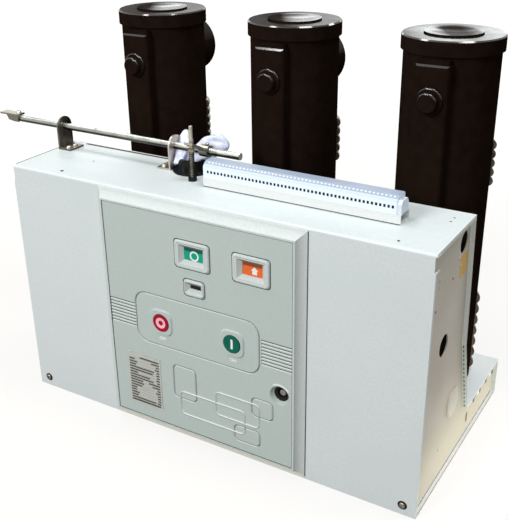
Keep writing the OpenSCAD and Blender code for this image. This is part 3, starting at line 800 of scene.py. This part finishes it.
def groove_shades():
    """Painted shade and painted highlights on the walls of the grooves and ridges of the panel, and painted
    shade in the gaps at its joints and round the buttons.
    """
    low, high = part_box("panel_face")
    frame_low, frame_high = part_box("panel_frame")
    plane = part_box("rating_plate")[1].y
    ground = frame_low.z
    half_w, mid_z = (high.x - low.x) / 2, (low.z + high.z) / 2
    row_z = middle("off_button").z
    bm = bmesh.new()
    faint = bmesh.new()
    pale = bmesh.new()
    # Left, right, bottom, top and corner radius of each outline in mm, and whether it is a ridge.
    rings = ((-120.5, 116.5, 171.2, 263.3, 22, False), (-50.5, -5.8, 80, 142, 8, False),
             (101.5, 140, 93.6, 127.5, 8, False), (67.6, 115.7, 35, 64, 8, False),
             (-37.5, 88.3, 50.5, 94.5, 8, True), (33.2, 115.5, 72.3, 116, 8, True))
    for x0, x1, z0, z1, r, raised in rings:
        path = rounded((x1 - x0) * MM, (z1 - z0) * MM, r * MM)
        path = shift(path, (x0 + x1) / 2 * MM, ground + (z0 + z1) / 2 * MM)
        wall_skin(faint, path, plane, 0, (1.9 if raised else 1.4) * MM, 1.2 * MM, raised)
        wall_skin(pale, path, plane, 1.7 * MM, 0.85 * MM, 1.3 * MM, raised, bright=True)
    for i in range(8):
        z = row_z + (3.4 - i) * 5.93 * MM
        for x0, x1 in ((-half_w, -122 * MM), (121 * MM, half_w)):
            path = [(x1, z), (x0, z)]
            wall_skin(bm, path, plane, 0, 1.5 * MM, 1.4 * MM, closed=False)
            wall_skin(pale, path, plane, 1.9 * MM, 0.95 * MM, 1.8 * MM, closed=False, bright=True)
    for bezel, w, h in (("state_window_bezel", 65, 47), ("spring_window_bezel", 65, 47),
                        ("counter_bezel", 39, 28.5)):
        centre = middle(bezel)
        path = shift(rounded((w + 1) * MM, (h + 1) * MM, 5.5 * MM), centre.x, centre.z)
        wall_skin(bm, path, plane, 0.9 * MM, 0, 1.7 * MM)
    path = shift(rounded(2 * half_w + 1 * MM, high.z - low.z + 1 * MM, 0.6 * MM, 2), 0, mid_z)
    wall_skin(bm, path, plane, 0, 0.25 * MM, 1.4 * MM)
    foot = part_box("front_cover")[0].y
    for side in (-1, 1):
        prism(bm, rounded(1.2 * MM, frame_high.z - frame_low.z, 0.2 * MM, 2), 0.15 * MM,
              at((side * (frame_high.x + 0.6 * MM), foot, mid_z), FRONT))
    for button in ("off_button", "on_button"):
        centre = middle(button)
        radius = (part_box(button)[1].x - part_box(button)[0].x) / 2
        centre.y = plane - 2.4 * MM
        band(bm, radius + 0.2 * MM, radius + 1.1 * MM, 0.12 * MM, at(centre, FRONT))
    piece("groove_shades", bm, "dial_black", mark="gap_shade")
    piece("groove_lines", faint, "face_plastic", mark="line_shade")
    piece("groove_lights", pale, "face_plastic", mark="edge_light")


# ---- poles ----

def shed_rims():
    """A thin layer of lighter resin over the half rings on the rear of the poles: painted light, as if light
    shone through the thin sheds.
    """
    reach, lift, overhang = 6 * MM, 0.25 * MM, 4.25 * MM
    for word in ("left", "middle", "right"):
        low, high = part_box(f"cap_{word}")
        axis = (low + high) / 2
        body = (high.x - low.x) / 2 - overhang
        bm = bmesh.new()
        for terminal, count, drop, pitch in (("upper", 5, 98 * MM, 15.2 * MM),
                                             ("lower", 7, 62 * MM, 21.3 * MM)):
            half = pitch / 2 + 0.3 * MM
            radius = (reach ** 2 + half ** 2) / (2 * reach)
            spread = math.acos((radius - reach) / radius)
            arc = [spread * (2 * i / 10 - 1) for i in range(11)]
            inner, outer = body + reach - radius, radius + lift
            profile = [(inner + outer * math.cos(a), outer * math.sin(a)) for a in arc]
            profile.append(profile[0])
            top = middle(f"{terminal}_terminal_{word}").z - drop
            for i in range(count):
                lathe(bm, profile, at((axis.x, axis.y, top - i * pitch)), 28, start=22, sweep=136)
        piece(f"shed_rims_{word}", bm, "epoxy", mark="shed_painted_light", sharp=50)


# ---- housing trim ----

def cover_trim():
    """Screws, plugs, punched holes and seams of the front and top of the housing, and a painted shadow line
    at the foot of the terminal rail.
    """
    low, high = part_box("front_cover")
    screw_z = low.z + 17.7 * MM
    ring = [(3, -0.2), (7.6, -0.2), (7.6, 0.6), (7.0, 1.1), (5.4, 1.3), (3, 1.3), (3, -0.2)]
    for name, x in (("cover_screw_left", low.x + 22 * MM), ("cover_screw_right", high.x - 22 * MM)):
        pan_screw(name, (x, low.y - 0.8 * MM, screw_z), FRONT, 5 * MM, 3 * MM)
        bm = bmesh.new()
        lathe(bm, in_mm(ring), at((x, low.y, screw_z), FRONT))
        piece(name + "_washer", bm, "spring_steel", mark="screw_black")
    for name, x, y, radius in (("top_plug_left", low.x + 97.4 * MM, 17.2 * MM, 3.0 * MM),
                               ("top_plug_right", high.x - 61.4 * MM, 18.8 * MM, 2.0 * MM)):
        pip(name, (x, low.y + y, high.z), UP, radius, 0.8 * MM, "dial_black", "hole_dark")
    pit("top_hole_left", (low.x + 109.9 * MM, low.y + 82.9 * MM, high.z), UP, 1.6 * MM)
    patches("rear_seam", "dial_black", "seam_brown", (540, 5.6, 0.5, 0.15),
            [(low.x + 300 * MM, high.y - 6.4 * MM, high.z)])
    # A painted shadow line along the foot of the terminal rail.
    rail_low, rail_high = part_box("terminal_rail")
    patches("rail_foot", "dial_black", "gap_shade", ((rail_high.x - rail_low.x) / MM, 1.2, 0.3, 0.2),
            [((rail_low.x + rail_high.x) / 2, rail_low.y, rail_low.z + 0.7 * MM)], FRONT)
    patches("left_seam", "dial_black", "hole_dark", (1.3, 150, 0.4, 0.25),
            [(low.x + 1.3 * MM, (low.y + high.y) / 2 + 2 * MM, high.z)])
    for i, depth in enumerate((134.4, 118.5)):
        pit(f"top_hole_right_{i}", (high.x - 23.8 * MM, low.y + depth * MM, high.z), UP, 1.7 * MM)


def side_trim():
    """Rivets, small holes and rear hems of the side plates, and the bare yellow label on the right one."""
    holes = ((41.3, 380.9), (41.9, 370.7), (99.4, 359.4), (121.6, 381.1), (127.9, 368.2), (34.3, 335.6),
             (152.9, 225.3), (104.2, 56.8))
    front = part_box("front_cover")[0].y
    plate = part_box("hole_plug_right")[0].x + 2 * MM
    for side, word, axes in SIDES:
        for i, (depth, height) in enumerate(holes):
            place = Vector((side * plate, front + depth * MM, height * MM))
            if i % 3 == 2:
                pit(f"side_hole_{word}_{i}", place, axes, 2.2 * MM)
            else:
                pip(f"side_rivet_{word}_{i}", place, axes, 2.8 * MM, 1.1 * MM, "side_paint")
    rear_hems()
    patches("side_label", "flag_orange", "label_yellow", (30, 36, 2, 0.25),
            [(plate, front + 143 * MM, 364 * MM)], RIGHT, 5)


def faces_of(node):
    """Normal, centre and corners of each face of a CAD node."""
    mesh = NODES[node].data
    for polygon in mesh.polygons:
        yield polygon.normal, polygon.center, [mesh.vertices[i].co for i in polygon.vertices]


def face_skin(bm, corners, out, into):
    """A closed skin on a flat face; out and into are the steps to its outer and inner side."""
    bridge(bm, [[bm.verts.new(c + step) for c in corners] for step in (out, into)], capped=True)


def rear_hems():
    """Painted light on each side plate's rear hem, with dark slots of painted shade along it, and painted
    light on the edges of its reliefs.
    """
    pitch, strip, bottom, slots_below = 9 * MM, 7 * MM, 70 * MM, 250 * MM
    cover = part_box("front_cover")
    for side, word, axes in reversed(SIDES):
        low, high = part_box(f"side_plate_{word}")
        outer = high.x if side > 0 else -low.x
        bm = bmesh.new()
        dashes = bmesh.new()
        for normal, place, corners in faces_of(f"side_plate_{word}"):
            if normal.y < -0.9 and abs(place.x) > outer - strip and place.z > bottom:
                inner = min(abs(c.x) for c in corners)
                ends = sorted((c for c in corners if abs(c.x) < inner + 0.2 * MM), key=lambda c: c.z)
                count = int((ends[-1].z - ends[0].z) / pitch) if ends[-1].z < slots_below else 0
                for i in range(count):
                    spot = ends[0].lerp(ends[-1], (i + 0.5) / count) + Vector((side * 3.0 * MM, 0, 0))
                    prism(dashes, rounded(1.3 * MM, 4.2 * MM, 0.4 * MM, 2), 1.2 * MM, at(spot, FRONT))
                face_skin(bm, corners, Vector((0, -0.3 * MM, 0)), Vector((0, 0.2 * MM, 0)))
        piece(f"rear_hem_{word}", bm, "cover_paint", mark="pale_painted_light")
        piece(f"hem_slots_{word}", dashes, "dial_black", mark="gap_shade")
        edge = (side * (cover[1].x - 0.6 * MM), cover[0].y + 8.5 * MM)
        patches(f"relief_edges_{word}", "cover_paint", "pale_painted_light", (15, 1.3, 0.5, 0.9),
                [edge + (cover[1].z - drop * MM,) for drop in (27.4, 4.2)], axes)


def skins():
    """Painted light and shade on faces of CAD nodes: painted light on the bottom lips, painted shade on the
    bezels' top walls and painted warm bounce light on the frame's underside.
    """
    def lip(n, c, low, high):
        return n.z > 0.9 and c.z < 5 * MM

    def top_wall(n, c, low, high):
        return n.z < -0.3 and n.y < -0.05 and c.z > (low.z + high.z) / 2

    def underside(n, c, low, high):
        return n.z < -0.2 and c.z < low.z + 9 * MM

    for name, node, slot, mark, wanted in (
            ("lip_skin_left", "side_plate_left", "cover_paint", "lip_painted_light", lip),
            ("lip_skin_right", "side_plate_right", "cover_paint", "lip_painted_light", lip),
            ("state_bezel_shade", "state_window_bezel", "dial_black", "bezel_shade", top_wall),
            ("spring_bezel_shade", "spring_window_bezel", "dial_black", "bezel_shade", top_wall),
            ("counter_bezel_shade", "counter_bezel", "dial_black", "bezel_shade", top_wall),
            ("frame_foot_skin", "panel_frame", "frame_plastic", "foot_bounce_light", underside)):
        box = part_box(node)
        bm = bmesh.new()
        for normal, centre, corners in faces_of(node):
            if wanted(normal, centre, *box):
                face_skin(bm, corners, normal * 0.12 * MM, normal * -0.1 * MM)
        piece(name, bm, slot, mark=mark)


def tab_lines():
    """Painted shade in the gaps round the tabs that hang from the base's top over its side edges, painted
    light on the tabs' ends, and lines of painted shade on the lips.
    """
    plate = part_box("side_plate_right")[1]
    outer = plate.x - 2.9 * MM
    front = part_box("front_cover")[0].y
    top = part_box("base_top_plate")[1].z
    tabs = (front + 267 * MM, front + 336 * MM)
    depth = plate.y - front
    for side, word, axes in SIDES:
        bm = bmesh.new()
        for y in tabs:
            for w, h, dy, dz in ((38, 1.0, 19, -10.6), (8, 8, 1.5, -13.4), (8, 8, 36.5, -13.4)):
                prism(bm, rounded(w * MM, h * MM, 0.3 * MM, 2), 0.2 * MM,
                      at((side * outer, y + dy * MM, top + dz * MM), axes))
        piece(f"tab_lines_{word}", bm, "dial_black", mark="gap_shade")
        patches(f"tab_ends_{word}", "cover_paint", "pale_painted_light", (14, 7, 0.5, 0.3),
                [(side * outer, y + 24 * MM, top - 12.6 * MM) for y in tabs], axes)
        for name, slot, mark, width, out in (("lip_edge", "side_paint", "lip_edge_shade", 1.0, 2.3),
                                             ("lip_crease", "dial_black", "line_shade", 0.9, -3.5)):
            patches(f"{name}_{word}", slot, mark, (width, depth / MM - 10, 0.3, 0.2),
                    [(side * (outer + out * MM), front + depth / 2, 2.05 * MM)])


def bracket_screws():
    """Screws that hold the two shaft brackets on the top cover, and the set screws of the linkage."""
    shaft = middle("interlock_shaft")
    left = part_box("shaft_bracket_left")
    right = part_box("shaft_bracket_right")
    top = left[0].z + 3 * MM
    for word, x in (("left", left[1].x - 12 * MM), ("right", right[0].x + 8 * MM)):
        for end, step in (("front", -8 * MM), ("back", 9 * MM)):
            pan_screw(f"bracket_screw_{word}_{end}", (x, shaft.y + step, top), UP, 4.8 * MM, 4.0 * MM,
                      "silvered_copper", washer=6.4 * MM)
    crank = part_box("end_crank")
    pan_screw("crank_screw", (crank[1].x - 5 * MM, shaft.y, crank[1].z), UP, 4.6 * MM, 6 * MM,
              "silvered_copper", "interlock_shaft")
    rod = middle("push_rod")
    pan_screw("hub_screw", (rod.x + 3 * MM, shaft.y, shaft.z + 10 * MM), UP, 3.4 * MM, 4.2 * MM,
              body="interlock_shaft")


# ---- terminal strip ----

def strip_tags():
    """A plain white marker tag on the strip's sloping top edge for each way, and a dark patch of painted
    shade in each way's wire entry.
    """
    low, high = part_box("terminal_strip")
    ways, pitch = 50, 6.34 * MM
    slope = Matrix.Rotation(math.atan2(4, 6), 4, "X")
    patches("strip_tags", "plug_plastic", "print_white", (3.0, 2.0, 0.5, 0.4),
            [(low.x + 8.5 * MM + i * pitch, low.y + 5.9 * MM, high.z - 2.1 * MM) for i in range(ways)], slope)
    patches("strip_entry_shade", "dial_black", "entry_shade", (3.7, 4.5, 0.3, 0.4),
            [(low.x + 8.6 * MM + i * pitch, low.y + 0.9 * MM, low.z + 10.3 * MM) for i in range(ways)], FRONT)


# ---- linkage ----

def coil_spring():
    """Round-wire coil spring with closed ends."""
    low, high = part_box("rod_spring")
    centre = (low + high) / 2
    wire, turns, steps, sides = 0.7 * MM, 14, 20, 8
    coil = (high.x - low.x) / 2 - wire
    length = high.z - low.z - 2 * wire
    bm = bmesh.new()
    rings = []
    for i in range(turns * steps + 1):
        t = i / (turns * steps)
        angle = 2 * math.pi * turns * t
        out = Vector((math.cos(angle), math.sin(angle), 0))
        core = Vector((centre.x, centre.y, low.z + wire + length * t)) + out * coil
        rings.append([bm.verts.new(core + out * wire * math.cos(a) + Vector((0, 0, wire * math.sin(a))))
                      for a in (2 * math.pi * j / sides for j in range(sides))])
    bridge(bm, rings, capped=True)
    spring = piece("coil_spring", bm, "spring_steel", replaces=["rod_spring"])
    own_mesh(spring)


# ---- soft pieces ----

def gland_boot():
    """Soft rubber boot with slumped folds where the cables come up through the cover."""
    low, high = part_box("cable_boot")
    centre = (low + high) / 2
    reach = (high.x - low.x) / 2
    tall = high.z - low.z
    profile = [(1.04, 0.0), (1.12, 0.03), (1.09, 0.10), (0.98, 0.18), (0.92, 0.36), (0.86, 0.56),
               (0.80, 0.75), (0.72, 0.92), (0.60, 1.0), (0.48, 0.97), (0.40, 0.80), (0.0, 0.72)]
    bm = bmesh.new()
    lathe(bm, [(r * reach, h * tall) for r, h in profile], at((centre.x, centre.y, low.z)), 72)
    for v in bm.verts:
        x, y, z = v.co.x - centre.x, v.co.y - centre.y, (v.co.z - low.z) / tall
        angle = math.atan2(y, x)
        wander = noise.noise(Vector((math.cos(angle), math.sin(angle), z)) * 1.7)
        fold = math.sin(7 * angle + 3 * z + 2 * wander)
        crumple = noise.noise(v.co * 90)
        pull = 1 + (0.05 * fold + 0.06 * crumple - 0.03) * min(1, 4 * z)
        v.co.x = centre.x + x * pull
        v.co.y = centre.y + y * pull
        v.co.z -= tall * 0.12 * z * (noise.noise(v.co * 60 + Vector((3, 1, 7))) + 0.4)
    boot = piece("gland_boot", bm, "boot_rubber", replaces=["cable_boot"], sharp=80)
    smooth_once(boot)


def smooth_once(made):
    """Applies one level of subdivision to a piece."""
    modifier = made.modifiers.new("smooth", "SUBSURF")
    modifier.levels = modifier.render_levels = 1
    mesh = bpy.data.meshes.new_from_object(made.evaluated_get(bpy.context.evaluated_depsgraph_get()))
    made.modifiers.clear()
    made.data = mesh


def film_bag(name, node, spine, widths, depths, seed):
    """Closed bag of film round a cable end: a creased tube along a bent spine, with half widths in mm."""
    rings, around, closing = 36, 40, 0.72
    bm = bmesh.new()
    made = []
    for i in range(rings + 1):
        t = i / rings
        core = bend(spine, t)
        ahead = (bend(spine, min(1, t + 0.02)) - bend(spine, max(0, t - 0.02))).normalized()
        side = ahead.cross(Vector((0, 1, 0))).normalized()
        back = side.cross(ahead).normalized()
        close = math.sqrt(max(0.0, 1 - max(0.0, (t - closing) / (1 - closing)) ** 2))
        width, depth = bend(widths, t) * close * MM, bend(depths, t) * close * MM
        ring = []
        for j in range(around):
            angle = 2 * math.pi * j / around
            flat = Vector((math.cos(angle), math.sin(angle), 0))
            crease = math.sin(5 * angle + seed + 3 * noise.noise(Vector((flat.x, flat.y, t * 3 + seed))))
            swell = 1 + 0.10 * crease + 0.16 * noise.noise(Vector((flat.x * 1.6, flat.y * 1.6, t * 5 + seed)))
            ring.append(bm.verts.new(core + side * width * flat.x * swell + back * depth * flat.y * swell))
        made.append(ring)
    bridge(bm, made)
    bm.faces.new(made[0])
    bag = piece(name, bm, "wrap_film", replaces=[node], sharp=80)
    smooth_once(bag)


def bend(points, t):
    """Value at a share t on a curve from the first of three to the last, drawn towards the middle one."""
    a, b, c = points
    return (a * (1 - t) + b * t) * (1 - t) + (b * (1 - t) + c * t) * t


def wrapped_ends():
    """The two bags of film that cover the cable ends, rooted in the boot."""
    boot_low, boot_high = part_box("cable_boot")
    left_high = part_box("wrapped_end_left")[1]
    right_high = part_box("wrapped_end_right")[1]
    left = middle("wrapped_end_left")
    right = middle("wrapped_end_right")
    foot = boot_low + Vector((9, 20, 7)) * MM
    film_bag("film_left", "wrapped_end_left",
             (foot, left + Vector((5, -6, -4)) * MM,
              Vector((left.x - 3 * MM, left.y + 2 * MM, left_high.z + 1 * MM))),
             (11, 19, 7), (9, 12, 7), 1.0)
    root = Vector((boot_low.x + 30 * MM, boot_low.y + 36 * MM, boot_high.z - 8 * MM))
    film_bag("film_right", "wrapped_end_right",
             (root, right + Vector((-4, 0, 9)) * MM,
              Vector((right_high.x + 8 * MM, right.y, right.z + 5 * MM))),
             (11, 27, 12), (9, 13, 8), 5.0)


# ---- build ----

bpy.context.scene.view_settings.view_transform = "Standard"
make_camera()
make_world()
make_floor()
area_light("key", (-1.1, -3.7, 2.7), (0, 0, 0.3), (1.4, 1.4), 134)
area_light("fill", (1.2, -3.0, 1.0), (0, 0, 0.3), (0.8, 0.8), 10)
area_light("overhead", (0.9, 0.15, 3.0), (0.1, 0.05, 0.3), (0.6, 1.0), 28)
area_light("rear", (0.55, 1.2, 1.6), (0.33, 0.15, 0.07), (0.3, 0.3), 5)
area_light("upper_left", (-1.15, -0.35, 2.85), (0, 0.15, 0.6), (1.3, 0.3), 18)
area_light("back", (-1.3, 2.8, 1.36), (0, 0, 0.5), (3.2, 0.36), 8, (0.94, 1.0, 1.0))
area_light("floor_side", (0.49, 0.05, 0.02), (0.38, 0.05, 0.0), (0.5, 0.05), 0.38, (0.98, 1.0, 0.87), False)

FINISHES = make_finishes()
MARKS = make_marks()
for node_name, node in NODES.items():
    for material_slot in node.material_slots:
        material_slot.material = FINISHES[SLOT_OF[node_name]]
# A colour of their own for three nodes: the right bracket, painted light on the base's top and painted shade
# inside the back plate.
for node_name, mark in (("shaft_bracket_right", "zinc_pale"), ("base_top_plate", "base_painted_light"),
                        ("back_plate", "back_inside_shade")):
    NODES[node_name].material_slots[0].material = MARKS[mark]
for word, polish in (("left", SIDE_CAP), ("middle", SIDE_CAP), ("right", RIGHT_CAP)):
    NODES[f"cap_{word}"].material_slots[0].material = cap_resin(word, *polish).material

panel_marks()
button_graphics()
groove_shades()
plate_ruling()
shed_rims()
cover_trim()
side_trim()
skins()
tab_lines()
bracket_screws()
strip_tags()
coil_spring()
gland_boot()
wrapped_ends()
